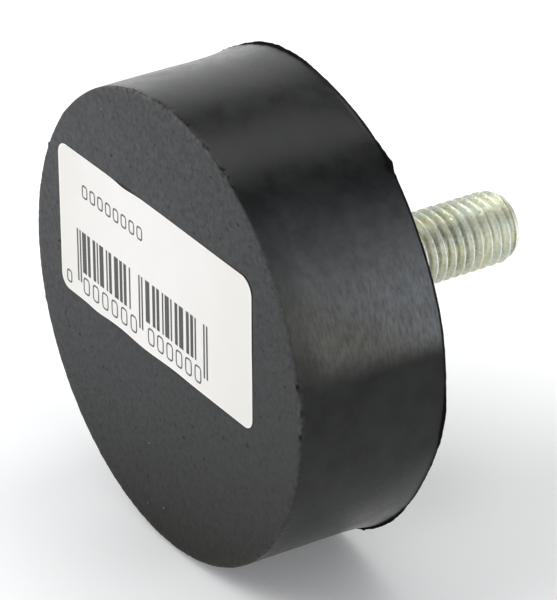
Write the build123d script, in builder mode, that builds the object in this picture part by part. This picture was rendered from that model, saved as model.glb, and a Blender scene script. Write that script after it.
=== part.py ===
from build123d import *
from math import cos, radians
import os

# Rubber buffer with one threaded stud.
# Millimetres. The origin is the middle of the mounting face, where the stud leaves the plate.
# +Y runs along the axis to the stud's free end, +Z is up, and the rubber face looks along -Y.

# Rubber: its side widens a little on the way from the striking face to the back edge
face_diameter = 74.8
side_draft = 0.2
buffer_height = 25.4
front_edge_radius = 0.4

# Flash at the mould's parting line: a thin fin round the back edge
fin_reach = 0.15
fin_thickness = 0.4

# Where the mould gaped, the fin stands out further, in crescents.
# Each has its middle's angle from +X towards +Z, its reach past the fin and half the angle it covers.
flash_crescents = [
    (-67, 1.3, 28),
    (-7, 0.3, 12),
    (53, 0.65, 4),
    (104, 0.65, 19),
]

# Steel plate, its edge wrapped by a lip of rubber
lip_width = 1.5
plate_thickness = 3.0
plate_edge_chamfer = 0.9

# Stud: head behind the plate, neck pressed through it, M12 thread outside
stud_diameter = 12.0
stud_reach = 37.7
stud_end_chamfer = 1.1
stud_end_taper = 2.4
neck_diameter = 14.0
head_diameter = 24.0
head_thickness = 3.5
head_edge_chamfer = 0.8

# Paper label on the rubber face, left of its middle and above it
label_width = 54.8
label_height = 25.0
label_thickness = 0.12
label_corner_radius = 2.2
label_shift = -2.4
label_rise = 7.0

face_radius = face_diameter / 2
back_radius = face_radius + side_draft
fin_radius = back_radius + fin_reach
plate_radius = back_radius - lip_width
stud_radius = stud_diameter / 2
neck_radius = neck_diameter / 2
head_radius = head_diameter / 2

# Steel plate: a flat disc, its outer edge chamfered so that the lip grips it, bored for the neck
with BuildPart() as steel_plate:
    with BuildSketch(Plane.XZ):
        Circle(plate_radius)
        Circle(neck_radius, mode=Mode.SUBTRACT)
    extrude(amount=plate_thickness)
    outer_edge = steel_plate.faces().sort_by(Axis.Y)[-1].edges().sort_by(SortBy.RADIUS)[-1]
    chamfer(outer_edge, plate_edge_chamfer)
steel_plate.part.label = "steel_plate"

# Stud: one turned outline from the head's flat back to the thread's end, which narrows in a short cone
with BuildPart() as threaded_stud:
    with BuildSketch(Plane.XY):
        with BuildLine():
            Polyline(
                (0, -plate_thickness - head_thickness),
                (head_radius, -plate_thickness - head_thickness),
                (head_radius, -plate_thickness),
                (neck_radius, -plate_thickness),
                (neck_radius, 0),
                (stud_radius, 0),
                (stud_radius, stud_reach - stud_end_taper),
                (stud_radius - stud_end_chamfer, stud_reach),
                (0, stud_reach),
                close=True,
            )
        make_face()
    revolve(axis=Axis.Y)
    head_rim = threaded_stud.faces().sort_by(Axis.Y)[0].edges()
    chamfer(head_rim, head_edge_chamfer)
threaded_stud.part.label = "threaded_stud"

# Rubber: a turned outline with the fin at its back edge and the crescents of flash on it,
# moulded round the plate and the stud's head
with BuildPart() as rubber_body:
    with BuildSketch(Plane.XY):
        with BuildLine():
            Polyline(
                (face_radius, -buffer_height),
                (back_radius, -fin_thickness),
                (fin_radius, -fin_thickness),
                (fin_radius, 0),
                (0, 0),
                (0, -buffer_height),
                close=True,
            )
        make_face()
    revolve(axis=Axis.Y)
    front_edge = rubber_body.faces().sort_by(Axis.Y)[0].edges()
    fillet(front_edge, front_edge_radius)
    # A crescent is the rim of a smaller circle, off centre, that meets the fin at both its ends
    with BuildSketch(Plane.XZ):
        for middle_angle, reach, half_angle in flash_crescents:
            tip_radius = fin_radius + reach
            ends_radius = fin_radius * cos(radians(half_angle))
            off_centre = (tip_radius**2 - fin_radius**2) / (2 * (tip_radius - ends_radius))
            with PolarLocations(off_centre, 1, middle_angle):
                Circle(tip_radius - off_centre)
    extrude(amount=fin_thickness)
    add(steel_plate.part, mode=Mode.SUBTRACT)
    add(threaded_stud.part, mode=Mode.SUBTRACT)
rubber_body.part.label = "rubber_body"

# Label: a rounded sheet stuck flat on the rubber face
with BuildPart() as label:
    with BuildSketch(Plane.XZ.offset(buffer_height)):
        with Locations((label_shift, label_rise)):
            RectangleRounded(label_width, label_height, label_corner_radius)
    extrude(amount=label_thickness)
label.part.label = "label"

os.makedirs("parts", exist_ok=True)
export_step(rubber_body.part, "parts/rubber_body.step")
export_step(steel_plate.part, "parts/steel_plate.step")
export_step(threaded_stud.part, "parts/threaded_stud.step")
export_step(label.part, "parts/label.step")
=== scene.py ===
import bpy
import numpy as np
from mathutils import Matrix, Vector


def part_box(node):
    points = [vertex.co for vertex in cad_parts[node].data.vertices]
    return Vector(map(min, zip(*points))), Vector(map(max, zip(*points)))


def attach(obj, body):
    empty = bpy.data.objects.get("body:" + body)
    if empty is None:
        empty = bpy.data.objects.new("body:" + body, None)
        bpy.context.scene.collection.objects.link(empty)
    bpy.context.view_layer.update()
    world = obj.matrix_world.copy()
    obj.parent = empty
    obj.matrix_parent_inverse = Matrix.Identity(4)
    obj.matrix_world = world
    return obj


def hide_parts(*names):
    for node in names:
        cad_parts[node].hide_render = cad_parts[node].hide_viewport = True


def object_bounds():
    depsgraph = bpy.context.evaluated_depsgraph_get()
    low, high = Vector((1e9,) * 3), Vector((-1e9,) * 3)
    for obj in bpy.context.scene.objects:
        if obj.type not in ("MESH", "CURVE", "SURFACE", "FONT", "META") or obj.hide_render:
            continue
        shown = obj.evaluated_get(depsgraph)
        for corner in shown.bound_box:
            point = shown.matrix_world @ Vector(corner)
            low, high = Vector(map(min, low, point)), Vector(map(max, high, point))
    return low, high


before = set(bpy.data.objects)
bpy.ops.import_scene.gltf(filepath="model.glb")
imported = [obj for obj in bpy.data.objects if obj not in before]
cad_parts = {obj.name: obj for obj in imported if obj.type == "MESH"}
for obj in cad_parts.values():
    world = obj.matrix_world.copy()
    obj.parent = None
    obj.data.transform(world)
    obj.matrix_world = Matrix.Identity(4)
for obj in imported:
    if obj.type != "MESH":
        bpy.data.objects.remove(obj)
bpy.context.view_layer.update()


# Rubber body
# One piece of black natural rubber, moulded round the steel plate and the stud's head and cured onto them.
# The mould's halves met at the back edge, where the side swells a little and a thin fin of flash is left.
# It is wider in the four places where the mould gaped. The striking face is matt, the side smoother.

mm = 0.001

rubber_low, rubber_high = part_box("rubber_body")
plate_low, plate_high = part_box("steel_plate")
stud_low, stud_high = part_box("threaded_stud")

face_y = rubber_low.y
seat_y = rubber_high.y
fin_reach = 0.15 * mm
side_draft = 0.2 * mm
fin_radius = -rubber_low.x
back_radius = fin_radius - fin_reach
face_radius = back_radius - side_draft
edge_radius = 0.4 * mm
swelling_length = 10 * mm
fin_root = 0.36 * mm
fin_tip = 0.20 * mm
least_overhang = 0.10 * mm
plate_radius = plate_high.x
plate_back = plate_low.y
plate_chamfer = 0.9 * mm
plate_overlap = 0.12 * mm
head_radius = stud_high.x
head_back = stud_low.y
head_chamfer = 0.8 * mm

# How uneven the mould left the back edge, the fin's rim and faces, the striking face's rim and the side
edge_unevenness = 0.015 * mm
fin_raggedness = 0.022 * mm
fin_bend = 0.05 * mm
rim_roughness = 0.02 * mm
side_ripple = 0.02 * mm

# Painted shadow of the label on the face: its middle lies a little right of the label's and below it
label_low, label_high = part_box("label")
label_middle_x = 0.5 * (label_low.x + label_high.x)
label_middle_z = 0.5 * (label_low.z + label_high.z)
label_half_width = 0.5 * (label_high.x - label_low.x)
label_half_height = 0.5 * (label_high.z - label_low.z)
label_corner = 2.2 * mm
shadow_shift = 0.09 * mm
shadow_corner = label_corner + shadow_shift

# Crescents of flash: the middle's angle from +X towards +Z, reach past the fin and half the angle covered
flash_crescents = ((-67, 1.3, 28), (-7, 0.3, 12), (53, 0.65, 4), (104, 0.65, 19))
# Swellings of the side's back edge, some below nothing: angle, height and half width in degrees
edge_swellings = ((-66, 1.02, 20.5), (-28, -0.25, 10), (-7, -0.05, 10), (6, -0.15, 9), (36, -0.52, 17),
                  (74, -0.26, 12), (104, 0.36, 13), (129, 0.58, 12))
# Where the striking face's rim is rubbed pale: angle, how much and half width in degrees
rubbed_rim = ((5.7, 0.62, 4.6), (76, 0.42, 14), (104, 0.95, 17), (-60, 0.15, 30))
# Tears and tags on the fin's rim: angle, reach (below nothing is torn off) and half width in degrees
flash_tears = ((-63.5, 0.20, 0.6), (-40.0, -0.10, 1.0), (-27.0, -0.12, 8), (-18.2, -0.22, 1.1),
               (0.5, -0.16, 3.0), (8.3, -0.10, 0.8), (20.0, -0.10, 5.0), (29.0, -0.12, 1.2),
               (38.5, -0.14, 3.0), (50.9, -0.34, 1.0), (53.0, 0.25, 0.6), (57.6, 0.22, 1.8),
               (70.5, -0.10, 2.0), (95.0, -0.06, 3.0), (112.0, -0.08, 2.0), (151.0, -0.10, 2.5))
# Nicks in the striking face's rim: angle, depth (below nothing is a burr) and half width in degrees
rim_nicks = ((11.7, 0.50, 0.7), (-0.5, 0.34, 0.7), (100.8, 0.25, 0.5), (139.0, -0.13, 5.0),
             (152.3, -0.40, 0.6), (196.8, -0.34, 0.6), (62.0, 0.14, 1.2), (236.0, 0.16, 0.9),
             (-38.0, 0.12, 0.8))
# Dust and painted sheen on the side: the angles in degrees where the patch starts, is full, starts to thin
# out and is gone
dust_and_sheen_angles = (8, 17.5, 26, 59)


def to_linear(hex_colour):
    """Turns an sRGB colour such as "1b1b1c" into the linear colour, with alpha, that a shader takes."""
    srgb = np.array([int(hex_colour[start:start + 2], 16) for start in (0, 2, 4)]) / 255
    linear = np.where(srgb <= 0.04045, srgb / 12.92, ((srgb + 0.055) / 1.055) ** 2.4)
    return (*linear.tolist(), 1.0)


def uneven(angle, along, seed, turns, wave, count=48):
    """Unevenness round and along the axis, with a spread of one: a sum of cosine waves of random phase.
    Each goes round a whole number of times, between the two given in turns, so that it closes on itself.
    Along the axis it repeats every wave metres or more slowly. Fine waves are lower than coarse ones."""
    rng = np.random.default_rng(seed)
    around = rng.integers(turns[0], turns[1] + 1, count)
    forward = rng.uniform(-1, 1, count) * 2 * np.pi / wave
    phase = rng.uniform(0, 2 * np.pi, count)
    height = 1 / np.sqrt(around)
    total = sum(h * np.cos(n * angle + f * along + p) for h, n, f, p in zip(height, around, forward, phase))
    return total / np.sqrt((height**2).sum() / 2)


def ease(start, end, value):
    """Rises from 0 at start to 1 at end along a smooth S, three times the square less twice the cube."""
    share = np.clip((value - start) / (end - start), 0, 1)
    return share * share * (3 - 2 * share)


def bumps(degrees, places):
    """Adds up one bell-shaped bump for each (angle, height, half width), on angles that wrap round."""
    total = np.zeros_like(degrees)
    for place, height, half_width in places:
        away = (degrees - place + 180) % 360 - 180
        total += height * np.exp(-((away / half_width) ** 2))
    return total


def ring_mesh(name, rings, finish, first_pole, last_pole):
    """Joins rings of points, an array of rows by columns by three, into a closed mesh. Each ring meets the
    next in four-sided faces, and the first and the last close on one point, a pole. Angles go from +X
    towards +Z, and rings from the piece's -Y side outwards and on to its +Y side, so faces point outwards.
    finish has, by name, a number for each point of the rings, for the material to read. Poles get 0."""
    rows, columns, _ = rings.shape
    points = np.vstack([rings.reshape(-1, 3), [first_pole, last_pole]])
    first, last = rows * columns, rows * columns + 1
    here = np.arange(columns)
    after = np.roll(here, -1)
    row = np.arange(rows - 1)[:, None] * columns
    sides = np.stack([row + here, row + columns + here, row + columns + after, row + after], axis=-1)
    last_row = (rows - 1) * columns
    start_fan = np.stack([np.full(columns, first), here, after], axis=-1)
    end_fan = np.stack([np.full(columns, last), last_row + after, last_row + here], axis=-1)
    faces = sides.reshape(-1, 4).tolist() + start_fan.tolist() + end_fan.tolist()
    mesh = bpy.data.meshes.new(name)
    mesh.from_pydata(points.tolist(), [], faces)
    for finish_name, values in finish.items():
        numbers = np.append(values, (0, 0)).astype(np.float32)
        mesh.attributes.new(finish_name, "FLOAT", "POINT").data.foreach_set("value", numbers)
    return mesh


def shown_piece(name, mesh, material, sharp_angle):
    """Links the mesh as a piece with its material, smooth except at edges of over sharp_angle degrees."""
    mesh.materials.append(material)
    mesh.shade_smooth()
    mesh.set_sharp_from_angle(angle=np.radians(sharp_angle))
    piece = bpy.data.objects.new(name, mesh)
    bpy.context.scene.collection.objects.link(piece)
    return piece


def add_node(material, kind, inputs=None, output=0, **options):
    """Adds one shader node of that kind, such as Math, and gives its output of that name or number, if it
    has any. options are its own settings. inputs gives its sockets, by name or number: another node's
    output is linked, and anything else is the socket's value."""
    node = material.node_tree.nodes.new("ShaderNode" + kind)
    for option, value in options.items():
        setattr(node, option, value)
    for socket, value in (inputs or {}).items():
        if isinstance(value, bpy.types.NodeSocket):
            material.node_tree.links.new(value, node.inputs[socket])
        else:
            node.inputs[socket].default_value = value
    return node.outputs[output] if node.outputs else None


def new_material(name):
    """An empty node material of that name."""
    material = bpy.data.materials.new(name)
    material.use_nodes = True
    material.node_tree.nodes.clear()
    return material


def rubber_surface(columns):
    """Turns the body's outline about the axis. Its rows run from the middle of the striking face out over
    the rim, along the side, out to the fin's tip, and back over the lip into the pockets of the plate and
    the head. The side swells with the square of the distance near its back edge. A row's radius and its
    place along the axis change with the angle, by the nicks, ripples and flash.
    Gives the rings, and for each point how dusty, streaky and worn it is and whether it is flash."""
    angle = np.linspace(0, 2 * np.pi, columns, endpoint=False)[None, :]
    degrees = np.degrees(angle)

    # Fin: the widest of the plain fin and the crescents, each the rim of a smaller circle set off centre
    fin = np.full_like(angle, fin_radius)
    for middle, reach, half in flash_crescents:
        tip = fin_radius + reach * mm
        off_centre = (tip**2 - fin_radius**2) / (2 * (tip - fin_radius * np.cos(np.radians(half))))
        turn = angle - np.radians(middle)
        under_root = np.maximum((tip - off_centre) ** 2 - (off_centre * np.sin(turn)) ** 2, 0)
        rim = off_centre * np.cos(turn) + np.sqrt(under_root)
        near = np.cos(turn) > np.cos(np.radians(half))
        fin = np.where(near, np.maximum(fin, rim), fin)
    swelling = bumps(degrees, edge_swellings) * mm
    back_edge = back_radius + swelling + edge_unevenness * uneven(angle, 0, seed=11, turns=(5, 24), wave=1)
    ragged = fin_raggedness * uneven(angle, 0, seed=12, turns=(40, 200), wave=1, count=90)
    torn = bumps(degrees, flash_tears) * mm
    fin = np.maximum(fin + np.minimum(swelling, 0) + torn, back_edge + least_overhang) + ragged
    bent = fin_bend * uneven(angle, 0, seed=13, turns=(4, 40), wave=1)

    rows = []

    def add_rows(radius, along):
        """Adds rows of that radius and place along the axis, with a point for each angle."""
        radius, along, _ = np.broadcast_arrays(radius, along, angle)
        rows.append(np.stack((radius, along), axis=-1))

    # Striking face
    face_rows = np.linspace(1.2 * mm, face_radius - edge_radius, 30)[:, None]
    add_rows(face_rows, face_y)

    # Rim, a quarter circle with a low burr, broken by nicks
    quarter = np.linspace(0, np.pi / 2, 9)[1:, None]
    roughened = rim_roughness * (1 + uneven(angle, 0, seed=14, turns=(30, 200), wave=1, count=60))
    nick = bumps(degrees, rim_nicks) * mm + roughened
    cut = np.maximum(nick, 0) * np.sin(2 * quarter) ** 0.5
    burr = np.minimum(nick, 0) * np.sin(quarter)
    rim_out = face_radius - edge_radius * (1 - np.sin(quarter)) - 0.7 * cut - burr
    rim_along = face_y + edge_radius * (1 - np.cos(quarter)) + 0.7 * cut
    rim_first = sum(len(row) for row in rows)
    add_rows(rim_out, rim_along)

    # Side: a slight draft, the mould's low ripples, and the swelling towards the back edge
    swelling_start = seat_y - swelling_length
    side_end = seat_y - fin_root
    side = np.concatenate([np.linspace(face_y + edge_radius, swelling_start, 22)[1:],
                           np.linspace(swelling_start, side_end, 17)[1:]])[:, None]
    draft = (back_radius - face_radius) * (side - face_y) / (side_end - face_y)
    distance_squared = np.maximum(side - swelling_start, 0) ** 2
    swollen = (back_edge - back_radius) * distance_squared / (side_end - swelling_start) ** 2
    ends = ease(face_y + edge_radius, face_y + 3 * mm, side) * (1 - ease(-3.5 * mm, -1 * mm, side))
    ripple = side_ripple * uneven(angle, side, seed=15, turns=(3, 14), wave=18 * mm) * ends
    add_rows(face_radius + draft + swollen + ripple, side)

    # Fin: out along its front, round its thin tip and back along the mounting face
    fin_first = sum(len(row) for row in rows)
    add_rows(back_edge + 0.01 * mm, side_end + 0.03 * mm)
    add_rows(0.5 * (back_edge + fin), seat_y - 0.5 * (fin_root + fin_tip) + 0.5 * bent)
    add_rows(fin - 0.03 * mm, seat_y - fin_tip - 0.03 * mm + bent * 0.6)
    add_rows(fin, seat_y - fin_tip * 0.7 + bent * 0.6)
    add_rows(fin - 0.02 * mm, seat_y - 0.04 * mm + np.minimum(bent, 0) * 0.6)
    add_rows(0.5 * (back_edge + fin), seat_y)
    fin_after = sum(len(row) for row in rows)

    # Lip: a thin skin of rubber runs a little over the plate's edge, as it does where a mould leaks
    leaked = plate_overlap * (1.6 + 0.6 * uneven(angle, 0, seed=16, turns=(8, 90), wave=1))
    skin = plate_radius - plate_chamfer - leaked
    add_rows(back_edge, seat_y)
    add_rows(0.5 * (back_edge + plate_radius), seat_y)
    add_rows(skin + 0.12 * mm, seat_y + 0.012 * mm)
    add_rows(skin, seat_y - 0.01 * mm)

    # Pockets of the plate and the head
    add_rows(plate_radius - plate_chamfer, seat_y - 0.02 * mm)
    add_rows(plate_radius, seat_y - plate_chamfer)
    add_rows(plate_radius, plate_back)
    add_rows(0.5 * (plate_radius + head_radius), plate_back)
    add_rows(head_radius, plate_back)
    add_rows(head_radius, head_back + head_chamfer)
    add_rows(head_radius - head_chamfer, head_back)
    add_rows(0.3 * head_radius, head_back)

    outline = np.concatenate(rows)
    radius, along = outline[..., 0], outline[..., 1]
    rings = np.stack([radius * np.cos(angle), along, radius * np.sin(angle)], axis=-1)

    # Dust and scuffs lie on the side's right, above its middle, thin just behind the rim and thicker
    # towards the back, and above and behind the patch is a painted sheen. They end below at a line, blurred
    # only near the rim, and fade out above
    signed = (degrees + 180) % 360 - 180
    backward = ease(face_y, seat_y, along)
    near_rim = 1 - ease(face_y + 1.5 * mm, face_y + 5.5 * mm, along)
    starting, full, thinning, gone = dust_and_sheen_angles
    lower_end = ease(starting - 3 * near_rim, full - 3 * backward + 11 * near_rim, signed)
    upper_end = 1 - ease(thinning - 2 * backward, gone - 5 * backward, signed)
    thickness = (1 - 0.35 * near_rim) * (0.76 + 0.24 * ease(-18 * mm, 0, along))
    dust_and_sheen = lower_end * upper_end * thickness
    dust_and_sheen_amount = np.zeros_like(radius)
    dust_and_sheen_amount[rim_first:fin_first] = dust_and_sheen[rim_first:fin_first]
    streaky = 1 - ease(24, 40, signed) + 0 * radius

    # The rim is rubbed on its outer half and just over the edge, and the flash is deadest where it is wide
    on_rim = ease(face_radius - 1.15 * edge_radius, face_radius - 0.7 * edge_radius, radius)
    on_rim = on_rim * (1 - ease(face_y + 0.25 * mm, face_y + 0.55 * mm, along))
    worn = np.clip(0.12 + bumps(degrees, rubbed_rim), 0, 1) * on_rim
    flash = np.zeros_like(radius)
    flash[fin_first:fin_after] = 0.5 + 0.5 * ease(0.15 * mm, 0.40 * mm, fin - back_edge)
    return rings, {"dust_and_sheen_amount": dust_and_sheen_amount, "streaky": streaky, "worn": worn, "flash": flash}


def moulded_rubber():
    """Black natural rubber as it leaves a steel mould. The striking face is matt and finely mottled, with
    small pits and a few pale specks, and a grey bloom, with painted light making it strongest at its upper
    left and painted shade fading it at the lower right. A painted shadow darkens it in a thin line past the
    label's lower right edges. The side is smoother and darker and mirrors the lights softly. Dust dulls it
    in one patch of fine short streaks that run round it, brown at the lower front, and a painted bluish
    sheen lies above and behind. The flash is a crumbly dead black."""
    face_dark = to_linear("313230")
    lit_face_bloom = to_linear("4c4d4f")
    side_black = to_linear("0c0d0d")
    side_cloud = to_linear("1a1b1b")
    dust_brown = to_linear("676660")
    sheen_blue = to_linear("6d7072")
    flash_black = to_linear("0c0c0c")
    worn_grey = to_linear("6d6b67")
    pit_black = to_linear("232324")
    shadow_black = to_linear("1f1d19")
    speck_grey = to_linear("8a8985")
    mottle_size = 0.9 * mm
    pit_spacing = 1.1 * mm
    speck_spacing = 0.8 * mm
    scuff_size = 1.8 * mm
    mould_cloud_size = 4 * mm
    # How the bloom and its painted light slant across the face, and how much of them is lost how far above
    # or below the middle
    bloom_and_light_slant = 0.65
    bloom_and_light_loss, loss_height = 0.28, 32 * mm
    # The mould's real grain is about 0.05 mm and the streaks 0.1 mm, too fine to show, so both are coarser
    grain_size = 0.22 * mm
    streak_width = 0.32 * mm

    material = new_material("moulded_black_rubber")
    place = add_node(material, "TexCoord", output="Object")
    across, along, up = (add_node(material, "SeparateXYZ", {0: place}, output=axis) for axis in "XYZ")
    side_share = add_node(material, "MapRange", {
        "Value": along, "From Min": face_y + 0.05 * mm, "From Max": face_y + 0.35 * mm})
    round_side = add_node(material, "Mapping", {"Vector": place, "Scale": (0.22, 1, 0.22)})

    # What each pattern lies on, its size, detail and roughness. A size below nothing mirrors the pattern
    mottle, grain, pits, specks, streaks, scuffs, clouds = (
        add_node(material, "TexNoise", {
            "Vector": laid_on, "Scale": 1 / size, "Detail": detail, "Roughness": roughness})
        for laid_on, size, detail, roughness in (
            (place, mottle_size, 4, 0.6),
            (place, grain_size, 2, 0.6),
            (place, pit_spacing, 1, 0.4),
            (place, -speck_spacing, 0, 0.5),
            (round_side, streak_width, 3, 0.6),
            (place, scuff_size, 4, 0.6),
            (place, mould_cloud_size, 3, 0.55),
        ))

    # Colour of the face: the bloom and the painted light on it grow towards the upper left and fall off at
    # the top and the bottom, painting the fall of light across the face. The mottle on it is weaker at the
    # lower right, in the painted shade. Then come pits and specks
    leftward = add_node(material, "Math", {0: across, 1: -bloom_and_light_slant}, operation="MULTIPLY")
    upper_left = add_node(material, "Math", {0: up, 1: leftward}, operation="ADD")
    bloom_and_light_share = add_node(material, "MapRange", {
        "Value": upper_left, "From Min": -42 * mm, "From Max": 40 * mm, "To Min": 0.08, "To Max": 1.08})
    mottle_strength = add_node(material, "MapRange", {
        "Value": upper_left, "From Min": -30 * mm, "From Max": 20 * mm, "To Min": 0.35, "To Max": 1.0})
    height_squared = add_node(material, "Math", {0: up, 1: up}, operation="MULTIPLY")
    bloom_and_light_share = add_node(material, "Math", {
        0: height_squared, 1: -bloom_and_light_loss / loss_height**2, 2: bloom_and_light_share}, operation="MULTIPLY_ADD")
    fine_mottle = add_node(material, "Math", {0: grain, 1: 1.0, 2: -1.5}, operation="MULTIPLY_ADD")
    fine_mottle = add_node(material, "Math", {0: mottle, 1: 2.0, 2: fine_mottle}, operation="MULTIPLY_ADD")
    bloom_and_light_share = add_node(material, "Math", {
        0: fine_mottle, 1: mottle_strength, 2: bloom_and_light_share}, operation="MULTIPLY_ADD")
    face_colour = add_node(material, "Mix", {
        0: bloom_and_light_share, 6: face_dark, 7: lit_face_bloom}, output=2, data_type="RGBA", clamp_factor=False)
    pit_share = add_node(material, "MapRange", {"Value": pits, "From Min": 0.67, "From Max": 0.77})
    speck_share = add_node(material, "MapRange", {"Value": specks, "From Min": 0.865, "From Max": 0.90})

    # Painted shadow under the label and just beyond its lower right edges: how far a point lies outside a
    # smaller rectangle, which is the label less its corner radius
    from_middle = add_node(material, "VectorMath", {
        0: place, 1: (label_middle_x + shadow_shift, face_y, label_middle_z - shadow_shift)},
        operation="SUBTRACT")
    from_middle = add_node(material, "VectorMath", {0: from_middle}, operation="ABSOLUTE")
    outside = add_node(material, "VectorMath", {
        0: from_middle, 1: (label_half_width - label_corner, 1, label_half_height - label_corner)},
        operation="SUBTRACT")
    outside = add_node(material, "VectorMath", {0: outside, 1: (0, 0, 0)}, operation="MAXIMUM")
    outside = add_node(material, "VectorMath", {0: outside}, output="Value", operation="LENGTH")
    shadow_share = add_node(material, "MapRange", {
        "Value": outside, "From Min": shadow_corner - 0.04 * mm, "From Max": shadow_corner + 0.08 * mm,
        "To Min": 1.0, "To Max": 0.0})

    # Colour of the side: black in faint clouds, with the dust in scuffs and short streaks, and a painted
    # bluish sheen above and behind
    cloud_share = add_node(material, "MapRange", {"Value": clouds, "From Min": 0.35, "From Max": 0.65})
    side_colour = add_node(material, "Mix", {
        0: cloud_share, 6: side_black, 7: side_cloud}, output=2, data_type="RGBA")
    dust_and_sheen_amount = add_node(material, "Attribute", output="Fac", attribute_name="dust_and_sheen_amount")
    streak_share = add_node(material, "MapRange", {
        "Value": streaks, "From Min": 0.34, "From Max": 0.56, "To Min": 0.60, "To Max": 1.04})
    streaky = add_node(material, "Attribute", output="Fac", attribute_name="streaky")
    streak_share = add_node(material, "Mix", {0: streaky, 2: 0.85, 3: streak_share}, data_type="FLOAT")
    scuff_share = add_node(material, "MapRange", {
        "Value": scuffs, "From Min": 0.36, "From Max": 0.62, "To Min": 0.74, "To Max": 1.0})
    dust_and_sheen_share = add_node(material, "Math", {0: streak_share, 1: scuff_share}, operation="MULTIPLY")
    dust_and_sheen_share = add_node(material, "Math", {0: dust_and_sheen_amount, 1: dust_and_sheen_share}, operation="MULTIPLY")
    # Above and behind, the patch turns from brown dust to a painted bluish sheen
    up_and_back = add_node(material, "Math", {0: along, 1: 0.6, 2: up}, operation="MULTIPLY_ADD")
    sheen_share = add_node(material, "MapRange", {
        "Value": up_and_back, "From Min": 3 * mm, "From Max": 9 * mm})
    dust_and_sheen_colour = add_node(material, "Mix", {
        0: sheen_share, 6: dust_brown, 7: sheen_blue}, output=2, data_type="RGBA")
    side_colour = add_node(material, "Mix", {
        0: dust_and_sheen_share, 6: side_colour, 7: dust_and_sheen_colour}, output=2, data_type="RGBA")

    # The finished colour: the face's with layers laid over it, each by its share
    worn = add_node(material, "Attribute", output="Fac", attribute_name="worn")
    rubbed = add_node(material, "MapRange", {
        "Value": mottle, "From Min": 0.35, "From Max": 0.68, "To Max": 0.9})
    worn_share = add_node(material, "Math", {0: worn, 1: rubbed}, operation="MULTIPLY")
    flash = add_node(material, "Attribute", output="Fac", attribute_name="flash")
    colour = face_colour
    for share, layer in ((pit_share, pit_black), (speck_share, speck_grey), (shadow_share, shadow_black),
                         (side_share, side_colour), (worn_share, worn_grey), (flash, flash_black)):
        colour = add_node(material, "Mix", {0: share, 6: colour, 7: layer}, output=2, data_type="RGBA")

    # Roughness: the face and the flash scatter widely, the side less, and more where it is cloudy or in the
    # patch of dust and painted sheen
    side_rough = add_node(material, "MapRange", {
        "Value": clouds, "From Min": 0.3, "From Max": 0.7, "To Min": 0.24, "To Max": 0.32})
    side_rough = add_node(material, "Math", {
        0: dust_and_sheen_share, 1: 0.25, 2: side_rough}, operation="MULTIPLY_ADD")
    rough = add_node(material, "Mix", {0: side_share, 2: 0.72, 3: side_rough}, data_type="FLOAT")
    rough = add_node(material, "Mix", {0: flash, 2: rough, 3: 0.95}, data_type="FLOAT")

    # Relief: grain and pits on the face, almost none on the side
    face_grain = add_node(material, "Math", {0: grain, 1: mottle_strength}, operation="MULTIPLY")
    pit_depth = add_node(material, "Math", {
        0: pit_share, 1: -1.6, 2: face_grain}, operation="MULTIPLY_ADD")
    side_relief = add_node(material, "Math", {0: clouds, 1: 1.6, 2: dust_and_sheen_share}, operation="MULTIPLY_ADD")
    relief = add_node(material, "Mix", {0: side_share, 2: pit_depth, 3: side_relief}, data_type="FLOAT")
    bump = add_node(material, "Bump", {"Height": relief, "Distance": 0.03 * mm, "Strength": 0.6})

    shader = add_node(material, "BsdfPrincipled", {
        "Base Color": colour, "Roughness": rough, "Normal": bump, "IOR": 1.5, "Specular IOR Level": 0.19})
    add_node(material, "OutputMaterial", {"Surface": shader})
    return material


rubber_rings, rubber_finish = rubber_surface(columns=900)
rubber_mesh = ring_mesh(
    "rubber_body_surface", rubber_rings, rubber_finish, (0, face_y, 0), (0, head_back, 0))
rubber = shown_piece("moulded_rubber_body", rubber_mesh, moulded_rubber(), sharp_angle=50)
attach(rubber, "root")
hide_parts("rubber_body")


# Steel plate
# A flat disc blanked from mild steel sheet, zinc plated and bonded into the back of the rubber, with only
# its outer face left bare inside the rubber lip. The solid's own form is right, so it keeps it.


def zinc_plate():
    """Bright zinc plating on rolled steel sheet: a satin grey metal with long faint rolling lines and
    small clouds where the passivation dried unevenly."""
    bright = to_linear("c9cbc6")
    dull = to_linear("a9aca4")
    cloud_size = 7 * mm
    # Real rolling lines are about 0.05 mm apart, too fine to show, so they are drawn coarser
    roll_line = 0.25 * mm

    material = new_material("zinc_plated_sheet")
    place = add_node(material, "TexCoord", output="Object")
    rolled = add_node(material, "Mapping", {"Vector": place, "Scale": (0.03, 1, 1)})
    lines = add_node(material, "TexNoise", {"Vector": rolled, "Scale": 1 / roll_line, "Detail": 3})
    clouds = add_node(material, "TexNoise", {
        "Vector": place, "Scale": 1 / cloud_size, "Detail": 4, "Roughness": 0.6})
    cloud_share = add_node(material, "MapRange", {"Value": clouds, "From Min": 0.35, "From Max": 0.65})
    colour = add_node(material, "Mix", {0: cloud_share, 6: bright, 7: dull}, output=2, data_type="RGBA")
    rough = add_node(material, "MapRange", {"Value": lines, "To Min": 0.28, "To Max": 0.48})
    bump = add_node(material, "Bump", {"Height": lines, "Distance": 0.01 * mm, "Strength": 0.4})
    shader = add_node(material, "BsdfPrincipled", {
        "Base Color": colour, "Metallic": 1.0, "Roughness": rough, "Normal": bump})
    add_node(material, "OutputMaterial", {"Surface": shader})
    return material


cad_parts["steel_plate"].data.materials.clear()
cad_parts["steel_plate"].data.materials.append(zinc_plate())


# Threaded stud
# One cold-formed piece of steel: a flat head behind the plate, a neck pressed through it and an M12
# thread, rolled right-hand with a pitch of 1.75 mm. It is zinc plated and passivated, which leaves it a
# pale straw green.

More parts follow.
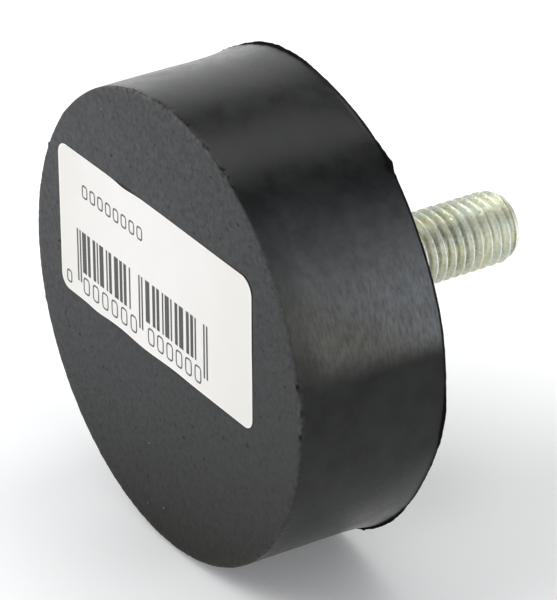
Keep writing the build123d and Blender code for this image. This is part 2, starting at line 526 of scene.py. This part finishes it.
stud_end = stud_high.y
stud_radius = 6 * mm
neck_radius = 7 * mm
thread_pitch = 1.75 * mm
thread_depth = 0.6134 * thread_pitch
crest_width = thread_pitch / 8
end_chamfer = 1.1 * mm
end_taper = 2.4 * mm
thread_start = 0.2 * mm
thread_full = 2.2 * mm
root_softness = 0.12 * mm
dent_depth = 0.07 * mm
# How far the helix strays, in turns
helix_wander = 0.008
# Round the stud, where the dirt and painted shade are thickest, where a painted dark reflection reaches up
# the thread's flanks, where the end's dark line fades out and where the crests are rubbed bright with a
# painted highlight: angle, how much and half width in degrees
thickest_dirt_and_shade = ((22, 0.28, 34),)
dark_reflection_flanks = ((34, 0.86, 19),)
end_line_gap = ((-70, 1.0, 45),)
rubbed_and_lit_crests = ((15, 1.0, 50),)


def stud_surface(columns, rows_a_turn):
    """Turns the stud about the axis. Behind the mounting face it is the head and neck. In front of it the
    radius is that of a 60 degree thread: from each crest, which moves one pitch along the axis for one
    turn, it falls by 1.73 times the distance along the axis, down to a rounded root, and a slender cone
    cuts the end.
    Gives the rings, and for each point how much dirt and painted shade it has and how much its crest is
    rubbed bright with a painted highlight. The dark share grows with the depth as painted shade in the
    roots, is most on the side that looks right, where a painted dark reflection also lies on the flanks, is
    least at the end, which is painted paler, and fills a thin line round the cone."""
    angle = np.linspace(0, 2 * np.pi, columns, endpoint=False)[None, :]
    behind = np.array([
        (0.35 * head_radius, head_back),
        (head_radius - head_chamfer, head_back),
        (head_radius, head_back + head_chamfer),
        (head_radius, plate_back),
        (neck_radius, plate_back),
        (neck_radius, seat_y),
    ])
    behind_radius = np.broadcast_to(behind[:, :1], (len(behind), columns))
    behind_along = np.broadcast_to(behind[:, 1:], (len(behind), columns))

    along = np.arange(seat_y, stud_end, thread_pitch / rows_a_turn)
    along = np.append(along, stud_end)[:, None]
    wander = helix_wander * uneven(angle, along, seed=21, turns=(3, 20), wave=6 * mm)
    turn = (along - thread_start) / thread_pitch + angle / (2 * np.pi) + wander
    from_crest = np.abs((turn + 0.5) % 1 - 0.5) * thread_pitch
    fall = (from_crest - crest_width / 2) * np.tan(np.radians(60))
    fall = root_softness * np.logaddexp(0, fall / root_softness)
    fall = thread_depth - root_softness * np.logaddexp(0, (thread_depth - fall) / root_softness)
    fall = np.maximum(fall, 0)
    runout = ease(thread_start, thread_full, along)
    knocks = uneven(angle, along, seed=22, turns=(20, 90), wave=1.2 * mm, count=80)
    dents = np.maximum(knocks - 0.5, 0) * dent_depth
    radius = stud_radius - fall * runout - dents * (fall < 0.3 * mm)
    cone_share = np.maximum(along - (stud_end - end_taper), 0) / end_taper
    radius = np.minimum(radius, stud_radius - end_chamfer * cone_share**1.5)
    degrees = np.degrees(angle)
    # The dark share is dirt and painted shade: painted shade deepens it in the roots, a painted dark
    # reflection lies on the flanks that look right, and it is painted paler towards the end
    darker_side = 0.70 + bumps(degrees, thickest_dirt_and_shade)
    paler_end = 1 - 0.5 * ease(24 * mm, 34 * mm, along)
    streaks = 0.9 + 0.3 * uneven(angle, along, seed=23, turns=(1, 9), wave=0.5 * mm)
    streaks = np.clip(streaks, 0.3, 1.5)
    root_dirt_and_shade = 1.2 * (fall / thread_depth) ** 1.6 * runout * darker_side * paler_end * streaks
    flank_dark_reflection = bumps(degrees, dark_reflection_flanks) * (1 - ease(15 * mm, 24 * mm, along)) * streaks
    flank_dark_reflection = flank_dark_reflection * ease(0.08 * mm, 0.3 * mm, fall)
    end_line = 0.9 * np.exp(-(((along - (stud_end - 1.15 * mm)) / (0.14 * mm)) ** 2))
    end_line = end_line * (1 - bumps(degrees, end_line_gap))
    dirt_and_shade = np.maximum(np.maximum(root_dirt_and_shade, flank_dark_reflection), end_line)
    # Crests rubbed bright, with a painted highlight most where they look right
    rubbed = bumps(degrees, rubbed_and_lit_crests) + 0 * along

    # Rows behind the mounting face come first, and two rows of the flat end last
    last = np.array([[stud_radius - end_chamfer - 0.25 * mm, 0.4 * stud_radius]]).T
    radius = np.vstack([behind_radius, radius, np.broadcast_to(last, (2, columns))])
    along = np.vstack([behind_along, np.broadcast_to(along, (len(along), columns)),
                       np.full((2, columns), stud_end)])
    clean_behind, clean_end = np.zeros((len(behind), columns)), np.zeros((2, columns))
    dirt_and_shade = np.vstack([clean_behind, dirt_and_shade, clean_end])
    rubbed = np.vstack([clean_behind, rubbed, clean_end])
    rings = np.stack([radius * np.cos(angle), along, radius * np.sin(angle)], axis=-1)
    return rings, {"dirt_and_shade": dirt_and_shade, "rubbed": rubbed}


def passivated_zinc():
    """Zinc plating under a thin chromate film: a bright metal that shifts between straw yellow, pale green
    and a touch of pink, with small dull spots all over. It is a little rough, rubbed pale on the crests
    with a painted highlight most where they look right, and grey with dirt and painted shade in the
    thread's grooves."""
    straw = to_linear("ecebca")
    green = to_linear("e3ecdf")
    blush = to_linear("ece0da")
    # The groove grey stands for dirt and painted shade, and the crest white for wear and a painted
    # highlight
    groove_grey_and_shade = to_linear("94938a")
    dull_spot = to_linear("bcbd9e")
    crest_highlight_white = to_linear("fbfcf6")
    tint_size = 3.2 * mm
    blush_size = tint_size / 1.7
    spot_size = 0.45 * mm
    speck_size = 1.0 * mm
    rub_size = 0.7 * mm
    # The plating's real grain is a few hundredths of a millimetre, too fine to show, so it is coarser
    plating_grain = 0.18 * mm

    material = new_material("passivated_zinc")
    place = add_node(material, "TexCoord", output="Object")

    # Each pattern's size, detail and roughness
    tint, blushes, grain, spots, rubs, specks = (
        add_node(material, "TexNoise", {
            "Vector": place, "Scale": 1 / size, "Detail": detail, "Roughness": roughness})
        for size, detail, roughness in (
            (tint_size, 4, 0.65),
            (blush_size, 3, 0.6),
            (plating_grain, 3, 0.6),
            (spot_size, 2, 0.6),
            (rub_size, 3, 0.6),
            (speck_size, 5, 0.7),
        ))

    # Where the tints and spots lie, where the crests are rubbed pale with a painted highlight and where
    # there is dirt and painted shade
    green_share = add_node(material, "MapRange", {"Value": tint, "From Min": 0.42, "From Max": 0.62})
    blush_share = add_node(material, "MapRange", {
        "Value": blushes, "From Min": 0.58, "From Max": 0.74, "To Max": 0.6})
    spot_share = add_node(material, "MapRange", {
        "Value": spots, "From Min": 0.48, "From Max": 0.66, "To Max": 0.55})
    dirt_and_shade = add_node(material, "Attribute", output="Fac", attribute_name="dirt_and_shade")
    rubbed = add_node(material, "Attribute", output="Fac", attribute_name="rubbed")
    rub_and_highlight_share = add_node(material, "MapRange", {
        "Value": rubs, "From Min": 0.42, "From Max": 0.58, "To Min": 0.3})
    rub_and_highlight_share = add_node(material, "Math", {0: rub_and_highlight_share, 1: rubbed}, operation="MULTIPLY")
    worn_and_lit_crest = add_node(material, "MapRange", {
        "Value": dirt_and_shade, "From Min": 0.02, "From Max": 0.40, "To Min": 1.0, "To Max": 0.0})
    worn_and_lit_crest = add_node(material, "Math", {0: worn_and_lit_crest, 1: rub_and_highlight_share}, operation="MULTIPLY")
    speck_share = add_node(material, "MapRange", {
        "Value": specks, "From Min": 0.42, "From Max": 0.60, "To Min": 0.62})
    dirt_and_shade_share = add_node(material, "MapRange", {"Value": dirt_and_shade, "From Min": 0.16, "From Max": 0.82})
    dirt_and_shade_share = add_node(material, "Math", {0: dirt_and_shade_share, 1: speck_share}, operation="MULTIPLY")

    # The finished colour: straw with layers laid over it, each by its share
    colour = straw
    for share, layer in ((green_share, green), (blush_share, blush), (spot_share, dull_spot),
                         (worn_and_lit_crest, crest_highlight_white), (dirt_and_shade_share, groove_grey_and_shade)):
        colour = add_node(material, "Mix", {0: share, 6: colour, 7: layer}, output=2, data_type="RGBA")
    rough = add_node(material, "MapRange", {
        "Value": grain, "From Min": 0.3, "From Max": 0.7, "To Min": 0.30, "To Max": 0.54})
    bump = add_node(material, "Bump", {"Height": grain, "Distance": 0.02 * mm, "Strength": 0.5})
    shader = add_node(material, "BsdfPrincipled", {
        "Base Color": colour, "Metallic": 0.85, "Roughness": rough, "Normal": bump})
    add_node(material, "OutputMaterial", {"Surface": shader})
    return material


stud_rings, stud_finish = stud_surface(columns=168, rows_a_turn=22)
stud_mesh = ring_mesh("threaded_stud_surface", stud_rings, stud_finish, (0, head_back, 0), (0, stud_end, 0))
stud = shown_piece("rolled_thread_stud", stud_mesh, passivated_zinc(), sharp_angle=60)
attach(stud, "root")
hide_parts("threaded_stud")


# Label
# A die-cut sticker of coated white paper with rounded corners, stuck on the striking face by its own
# adhesive. It lies in slight waves, and its top edge has come up a little in one place.

paper_thickness = 0.07 * mm
wave_height = 0.02 * mm
wave_across, wave_up, wave_slanting = 6.5 * mm, 5.5 * mm, 13 * mm
lift_place = -9.8 * mm
lift_height = 0.28 * mm
lift_half_width = 2.7 * mm
edge_drop = 0.025 * mm
# How much the upper edge is raised at its left and falls to its right, and how far the right end leans in
upper_rise, upper_fall = 0.09 * mm, 0.36 * mm
end_lean = 0.10 * mm
# Corner radii, from the upper right round by the upper left and the lower left to the lower right
corner_radii = np.array((2.65, 2.2, 2.2, 2.0)) * mm
# Waves of its lower edge: place from left to right, height and half width, in millimetres
lower_waves = ((-19, -0.20, 2.4), (-12, 0.12, 3.0), (-5, -0.19, 4.0), (4, 0.10, 3.5))


def label_outline(columns):
    """Goes once round a rounded rectangle, from +X towards +Z, at even steps along its edge: four corner
    arcs, joined by the straight sides. The upper edge slopes a little to the right, the lower one is wavy,
    and the right end leans in a little in its upper part.
    Gives the points across and up, from the label's middle."""
    corner_angle = np.linspace(0, np.pi / 2, 12)
    arc = np.concatenate([corner_angle + quarter * np.pi / 2 for quarter in range(4)])
    radius = np.repeat(corner_radii, len(corner_angle))
    arc_middle_x = np.repeat([1, -1, -1, 1], len(corner_angle)) * (label_half_width - radius)
    arc_middle_z = np.repeat([1, 1, -1, -1], len(corner_angle)) * (label_half_height - radius)
    x = np.append(arc_middle_x + radius * np.cos(arc), label_half_width)
    z = np.append(arc_middle_z + radius * np.sin(arc), arc_middle_z[0])
    length = np.append(0, np.cumsum(np.hypot(np.diff(x), np.diff(z))))
    steps = np.linspace(0, length[-1], columns, endpoint=False)
    x, z = np.interp(steps, length, x), np.interp(steps, length, z)
    across = x + label_middle_x
    upper = upper_rise - upper_fall * ease(-8 * mm, 28 * mm, across)
    lower = sum(height * mm * np.exp(-(((across / mm - middle) / half) ** 2))
                for middle, height, half in lower_waves)
    leaning = -end_lean * ease(-6 * mm, 3 * mm, z) * ease(0.5 * label_half_width, label_half_width, x)
    near_top = ease(0.5 * label_half_height, 0.8 * label_half_height, z)
    near_bottom = ease(0.5 * label_half_height, 0.8 * label_half_height, -z)
    return x + leaning, z + upper * near_top + lower * near_bottom


def label_front(x, z):
    """Where the paper's outer face lies along the axis: a flat face with low waves, lifted along its top
    edge in one place."""
    waves = 0.5 + 0.25 * np.sin(x / wave_across + 1.3) + 0.25 * np.cos(z / wave_up - x / wave_slanting)
    near_top = ease(label_high.z - 3 * mm, label_high.z, z)
    lifted = np.exp(-(((x - lift_place) / lift_half_width) ** 2)) * near_top
    return face_y - paper_thickness - wave_height * waves - lift_height * lifted


def label_surface(columns):
    """Rings that share the label's outline, growing from its middle over the outer face, down the cut edge
    and back under the paper."""
    outline_x, outline_z = label_outline(columns)
    outward = np.append(np.linspace(0.04, 0.96, 30), (0.97, 0.98, 0.985, 0.99, 0.995, 1))[:, None]
    x = label_middle_x + outline_x * outward
    z = label_middle_z + outline_z * outward
    from_edge = (1 - outward) * np.hypot(outline_x, outline_z)
    at_edge = 1 - ease(0.05 * mm, 0.45 * mm, from_edge)
    back = label_front(x, z) + paper_thickness * 0.98
    front = label_front(x, z) + edge_drop * at_edge
    rings = np.concatenate([
        np.stack([x, front, z], axis=-1),
        np.stack([x, back, z], axis=-1)[::-1],
    ])
    front_y = label_front(label_middle_x, label_middle_z)
    front_middle = (label_middle_x, front_y, label_middle_z)
    back_middle = (label_middle_x, front_y + paper_thickness * 0.98, label_middle_z)
    return rings, {"at_edge": np.concatenate([at_edge, at_edge[::-1]])}, front_middle, back_middle


def coated_paper():
    """White label paper with a thin matt coat: faintly warm, with a hint of fibre, greyed by handling in
    clouds, greyed towards its two ends by painted shade, and with a painted highlight along its pressed and
    cut edge."""
    white = to_linear("efecea")
    greyed = to_linear("e5e3dd")
    cut_edge_highlight = to_linear("f6f4ec")
    cloud_size = 12 * mm
    # The ends are greyed with painted shade, by the square of the distance across from a point 5 mm left of
    # the axis
    end_shade_middle = -5 * mm
    end_shade_reach = 27 * mm
    # Paper fibres are really about 0.03 mm thick, too fine to show, so they are drawn coarser
    fibre_size = 0.25 * mm

    material = new_material("coated_label_paper")
    place = add_node(material, "TexCoord", output="Object")
    clouds = add_node(material, "TexNoise", {
        "Vector": place, "Scale": 1 / cloud_size, "Detail": 3, "Roughness": 0.6})
    fibres = add_node(material, "TexNoise", {
        "Vector": place, "Scale": 1 / fibre_size, "Detail": 2, "Roughness": 0.6})
    across = add_node(material, "SeparateXYZ", {0: place}, output="X")
    # Painted shade greys the label towards its two ends
    from_middle = add_node(material, "Math", {
        0: across, 1: 1 / end_shade_reach, 2: -end_shade_middle / end_shade_reach}, operation="MULTIPLY_ADD")
    painted_end_shade = add_node(material, "Math", {0: from_middle, 1: from_middle}, operation="MULTIPLY")
    cloud_share = add_node(material, "MapRange", {
        "Value": clouds, "From Min": 0.35, "From Max": 0.65, "To Min": 0.1})
    cloud_share = add_node(material, "Math", {
        0: cloud_share, 1: 0.3, 2: painted_end_shade}, operation="MULTIPLY_ADD", use_clamp=True)
    colour = add_node(material, "Mix", {0: cloud_share, 6: white, 7: greyed}, output=2, data_type="RGBA")
    # A painted highlight along the pressed and cut edge
    at_edge = add_node(material, "Attribute", output="Fac", attribute_name="at_edge")
    colour = add_node(material, "Mix", {0: at_edge, 6: colour, 7: cut_edge_highlight}, output=2, data_type="RGBA")
    bump = add_node(material, "Bump", {"Height": fibres, "Distance": 0.01 * mm, "Strength": 0.3})
    shader = add_node(material, "BsdfPrincipled", {
        "Base Color": colour, "Roughness": 0.55, "Normal": bump, "IOR": 1.5})
    add_node(material, "OutputMaterial", {"Surface": shader})
    return material


label_mesh = ring_mesh("label_surface", *label_surface(columns=480))
label = shown_piece("paper_label", label_mesh, coated_paper(), sharp_angle=60)
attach(label, "root")
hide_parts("label")


# Print on the label
# Thermal-transfer ink, a film of soft black about a hundredth of a millimetre thick. It is a field of
# upright bars and two rows of empty boxes, laid out by plain counting rules, so it says and codes nothing.

ink_thickness = 0.012 * mm
bar_module = 0.398 * mm
bars_left = -24.72 * mm
bars_top = 6.5 * mm
bars_bottom = -0.6 * mm
guard_bottom = -2.6 * mm
modules_wide = 95
guard_places = (0, 2, 46, 48, 92, 94)
bar_widths = (3, 2, 2, 1, 3, 1, 2)
gap_widths = (1, 2, 1, 1, 2)
stroke = 0.29 * mm
# Rows of boxes: the left side, bottom, width, height and pitch in millimetres, and how many
box_rows = ((-22.75, 12.55, 1.65, 2.30, 2.30, 8), (-28.2, -4.2, 1.6, 2.25, 0, 1),
            (-23.1, -4.2, 1.9, 2.95, 2.82, 6), (-3.9, -4.2, 1.9, 2.95, 2.65, 6))


def bar_places():
    """Lays bars and gaps side by side between the guard bars, the widths and the gaps each going round
    their own short list, until the field is full. Gives each bar's left side and width, in modules."""
    found = []
    place, count = 4, 0
    while place < modules_wide - 4:
        width = bar_widths[count % len(bar_widths)]
        near_middle = 43 <= place + width and place <= 50
        if not near_middle and place + width < modules_wide - 3:
            found.append((place, width))
        place += width + gap_widths[count % len(gap_widths)]
        count += 1
    return found


def ink_ribbons(name, across, up, width, closed):
    """Carries a flat rectangular section, width across and ink_thickness deep, along each path of points
    across and up the label. A closed path joins its ends, and an open one has a face at each end."""
    if closed:
        run_x = np.roll(across, -1, axis=1) - np.roll(across, 1, axis=1)
        run_z = np.roll(up, -1, axis=1) - np.roll(up, 1, axis=1)
    else:
        run_x, run_z = np.gradient(across, axis=1), np.gradient(up, axis=1)
    length = np.hypot(run_x, run_z)
    side_x, side_z = run_z / length * width / 2, -run_x / length * width / 2
    paths, points = across.shape
    corners = []
    for side, top in ((-1, 0), (1, 0), (1, 1), (-1, 1)):
        x, z = across + side * side_x, up + side * side_z
        y = label_front(x, z) + (-ink_thickness if top else 0.4 * ink_thickness)
        corners.append(np.stack([x, y, z], axis=-1))
    places = np.stack(corners, axis=2)
    path = np.arange(paths)[:, None, None] * points * 4
    step = np.arange(points if closed else points - 1)[None, :, None]
    here, ahead = path + step * 4, path + (step + 1) % points * 4
    corner, next_corner = np.arange(4), (np.arange(4) + 1) % 4
    walls = np.stack(np.broadcast_arrays(
        here + corner, ahead + corner, ahead + next_corner, here + next_corner), axis=-1)
    faces = walls.reshape(-1, 4).tolist()
    if not closed:
        start = np.arange(paths)[:, None] * points * 4
        faces += (start + np.arange(4)).tolist()
        faces += (start + (points - 1) * 4 + np.arange(4)[::-1]).tolist()
    mesh = bpy.data.meshes.new(name)
    mesh.from_pydata(places.reshape(-1, 3).tolist(), [], faces)
    return mesh


def box_paths(left, bottom, width, height, pitch, count):
    """The centrelines of a row of boxes with rounded corners, each a superellipse: the square root of a
    circle's sine and cosine, stretched to the box's size. Gives the points across and up the label."""
    turn = np.linspace(0, 2 * np.pi, 28, endpoint=False)
    x = np.sign(np.cos(turn)) * np.abs(np.cos(turn)) ** 0.5 * (width * mm - stroke) / 2
    z = np.sign(np.sin(turn)) * np.abs(np.sin(turn)) ** 0.5 * (height * mm - stroke) / 2
    middles = (left + width / 2 + np.arange(count)[:, None] * pitch) * mm
    return middles + x, (bottom + height / 2) * mm + z + 0 * middles


def thermal_ink():
    """Thermal-transfer ink on coated paper: a soft black that lets the paper's grain through and thins to
    grey in specks where the print head missed."""
    black = to_linear("363634")
    worn_black = to_linear("565653")
    # The specks are really about 0.1 mm, too fine to show, so they are drawn coarser
    speck_size = 0.3 * mm

    material = new_material("thermal_transfer_ink")
    place = add_node(material, "TexCoord", output="Object")
    specks = add_node(material, "TexNoise", {
        "Vector": place, "Scale": 1 / speck_size, "Detail": 2, "Roughness": 0.6})
    speck_share = add_node(material, "MapRange", {"Value": specks, "From Min": 0.45, "From Max": 0.75})
    colour = add_node(material, "Mix", {
        0: speck_share, 6: black, 7: worn_black}, output=2, data_type="RGBA")
    shader = add_node(material, "BsdfPrincipled", {"Base Color": colour, "Roughness": 0.5, "IOR": 1.5})
    add_node(material, "OutputMaterial", {"Surface": shader})
    return material


ink = thermal_ink()

bars = np.array([(place, width, bars_bottom) for place, width in bar_places()]
                + [(place, 1, guard_bottom) for place in guard_places])
bar_middle = bars_left + (bars[:, :1] + bars[:, 1:2] / 2) * bar_module
bar_steps = np.linspace(0, 1, 7)
bar_up = bars[:, 2:] + (bars_top - bars[:, 2:]) * bar_steps
bar_across = bar_middle + 0 * bar_steps
bar_mesh = ink_ribbons("printed_bars_surface", bar_across, bar_up, bars[:, 1:2] * bar_module, closed=False)
printed_bars = shown_piece("printed_bars", bar_mesh, ink, sharp_angle=30)

box_across, box_up = (np.concatenate(paths) for paths in zip(*(box_paths(*row) for row in box_rows)))
box_mesh = ink_ribbons("printed_boxes_surface", box_across, box_up, stroke, closed=True)
printed_boxes = shown_piece("printed_boxes", box_mesh, ink, sharp_angle=30)

for piece in (printed_bars, printed_boxes):
    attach(piece, "root")


# Floor, light and camera
# A white table under three softboxes, with a bright wall behind and a dim room round them. The table glows
# a little of its own, painted light, and glows less near the object, which paints its shadow deeper. The
# camera stands at the photograph's place, worked out from the object's outlines.

table_height = min(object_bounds()[0].z, rubber_low.z)
table_size = 6.0

table_mesh = bpy.data.meshes.new("table_surface")
table_corners = ((-1, -1), (1, -1), (1, 1), (-1, 1))
table_mesh.from_pydata(
    [(x * table_size / 2, y * table_size / 2, table_height) for x, y in table_corners], [], [(0, 1, 2, 3)])
table_paint = new_material("white_table_paint")
table_place = add_node(table_paint, "TexCoord", output="Object")
away = add_node(table_paint, "VectorMath", {0: table_place, 1: (1, 1, 0)}, operation="MULTIPLY")
away = add_node(table_paint, "VectorMath", {0: away}, output="Value", operation="LENGTH")
# Painted light: the table's own glow, weaker within 110 mm of the object, which paints its shadow deeper
glow = add_node(table_paint, "MapRange", {
    "Value": away, "From Min": 20 * mm, "From Max": 110 * mm, "To Min": 0.10, "To Max": 0.30})
table_shader = add_node(table_paint, "BsdfPrincipled", {
    "Base Color": to_linear("f7f7f6"), "Roughness": 0.7, "Specular IOR Level": 0.2,
    "Emission Color": to_linear("fbfcff"), "Emission Strength": glow})
add_node(table_paint, "OutputMaterial", {"Surface": table_shader})
table_mesh.materials.append(table_paint)
table = bpy.data.objects.new("white_table", table_mesh)
bpy.context.scene.collection.objects.link(table)


def softbox(name, place, aim, width, height, brightness):
    """A rectangular light of that width and height in metres that faces aim. brightness is how bright its
    face looks, where 1 is white in the picture, so its power is pi times that times its area."""
    lamp = bpy.data.lights.new(name, "AREA")
    lamp.shape = "RECTANGLE"
    lamp.size, lamp.size_y = width, height
    lamp.energy = np.pi * width * height * brightness
    light = bpy.data.objects.new(name, lamp)
    light.location = place
    light.rotation_euler = (Vector(aim) - Vector(place)).to_track_quat("-Z", "Y").to_euler()
    light.visible_camera = False
    bpy.context.scene.collection.objects.link(light)
    return light


softbox("front_softbox", (-0.45, -0.85, 0.95), (0, 0, 0), 0.9, 0.9, 4.0)
softbox("right_softbox", (1.0, 0.58, 0.30), (0, 0, 0.02), 0.7, 0.5, 2.4)
softbox("top_softbox", (-0.2, 0.42, 1.08), (0, 0, 0), 0.5, 0.5, 2.7)
softbox("back_wall", (-1.1, 0.75, 0.40), (0, 0, 0), 1.2, 1.0, 1.10)

room = bpy.data.worlds.new("dim_room")
room.use_nodes = True
room.node_tree.nodes["Background"].inputs["Color"].default_value = to_linear("f4f6fa")
room.node_tree.nodes["Background"].inputs["Strength"].default_value = 0.45
bpy.context.scene.world = room
bpy.context.scene.view_settings.view_transform = "Standard"
bpy.context.scene.view_settings.look = "None"

camera_place = Vector((378.691, -252.86, 245.375)) * mm
camera_azimuth = np.radians(56.741)
camera_elevation = np.radians(28.568)
camera_back = Vector((
    np.sin(camera_azimuth) * np.cos(camera_elevation),
    -np.cos(camera_azimuth) * np.cos(camera_elevation),
    np.sin(camera_elevation),
))
camera_data = bpy.data.cameras.new("photo_camera")
camera_data.sensor_width = 36.0
camera_data.lens = 202.44
camera_data.clip_start = 0.01
camera_data.clip_end = 20.0
camera = bpy.data.objects.new("photo_camera", camera_data)
camera.location = camera_place
camera.rotation_euler = (-camera_back).to_track_quat("-Z", "Y").to_euler()
bpy.context.scene.collection.objects.link(camera)
bpy.context.scene.camera = camera
